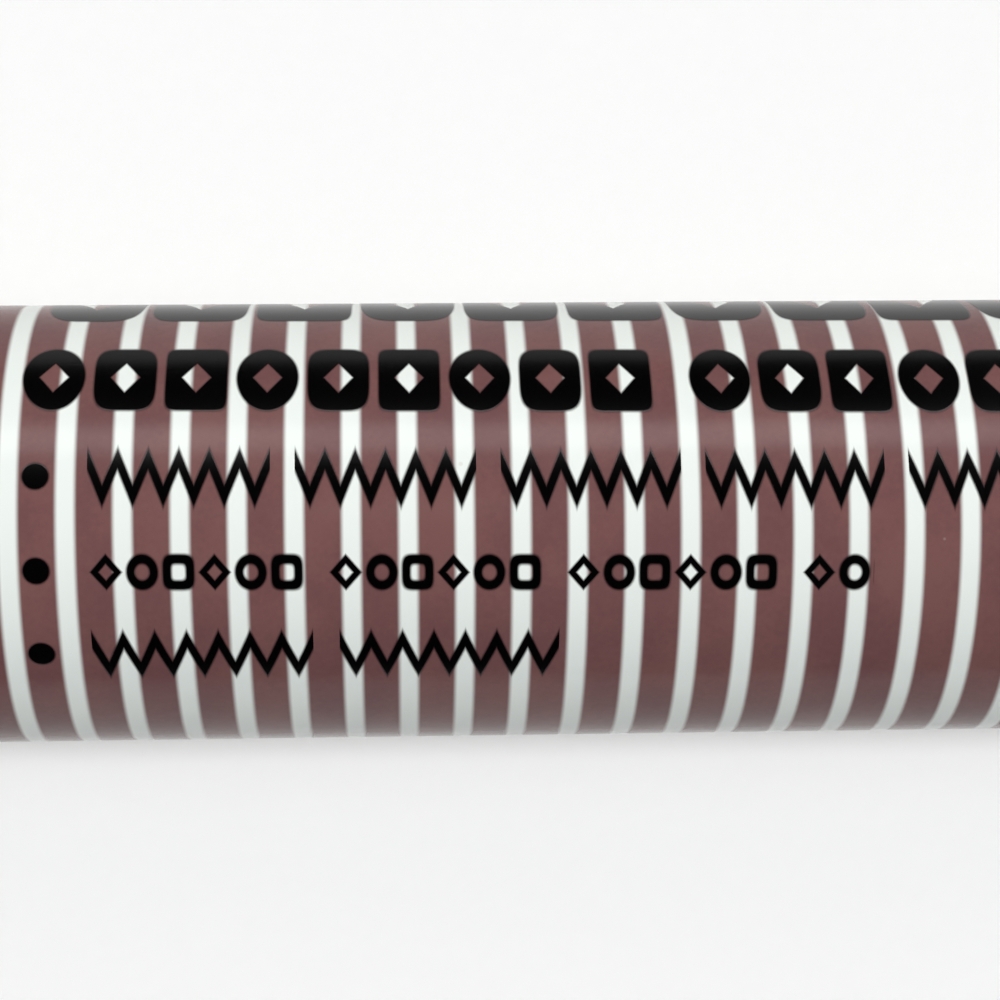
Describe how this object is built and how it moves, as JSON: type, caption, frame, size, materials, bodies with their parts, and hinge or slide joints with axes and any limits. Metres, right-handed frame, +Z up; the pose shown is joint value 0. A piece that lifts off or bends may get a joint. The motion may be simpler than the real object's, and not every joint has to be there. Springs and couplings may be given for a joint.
{
  "type": "permanent marker",
  "caption": "Capped felt-tip marker with a straight ringed barrel, a push-on cap with a pocket clip, an inner sealing cap and a bullet nib.",
  "frame": {"origin": "centre of the flat end face of the tail plug, on the marker's axis", "axes": "+X along the marker's axis out of the tail, so the cap points along -X; +Z up as the marker lies on a table, with the clip turned down towards -Y"},
  "size_m": [0.1338, 0.0147, 0.0124],
  "materials": {
    "printed_barrel": "gloss white plastic printed with mauve-brown bands and black marks",
    "cap_plastic": "moulded gloss plastic, deep mauve-brown",
    "holder_plastic": "moulded satin plastic, off-white",
    "seal_plastic": "soft translucent polyethylene, natural",
    "nib_felt": "bonded felt, soaked with ink",
    "inked_fibre": "bonded fibre, soaked with ink",
    "film_plastic": "thin clear-white film"
  },
  "bodies": {
    "barrel_body": {"barrel": "printed_barrel", "end_plug": "cap_plastic", "nib_holder": "holder_plastic", "nib": "nib_felt", "reservoir_core": "inked_fibre", "reservoir_film": "film_plastic", "breather_tube": "film_plastic"},
    "inner_cap_body": {"inner_cap": "seal_plastic"},
    "cap_body": {"cap_shell": "cap_plastic"},
    "clip_body": {"clip": "cap_plastic"}
  },
  "joints": [
    {"name": "cap_pull", "type": "slide", "parent": "barrel_body", "child": "inner_cap_body", "axis": [-1, 0, 0], "range_m": [0, 0.05]},
    {"name": "cap_turn", "type": "hinge", "parent": "inner_cap_body", "child": "cap_body", "pos_m": [-0.115, 0, 0], "axis": [-1, 0, 0], "continuous": true},
    {"name": "clip_flex", "type": "hinge", "parent": "cap_body", "child": "clip_body", "pos_m": [-0.1314, -0.00625, -0.00348], "axis": [0, 0.4865, -0.8737], "range_deg": [0, 4], "stiffness_Nm_per_rad": 0.9}
  ]
}
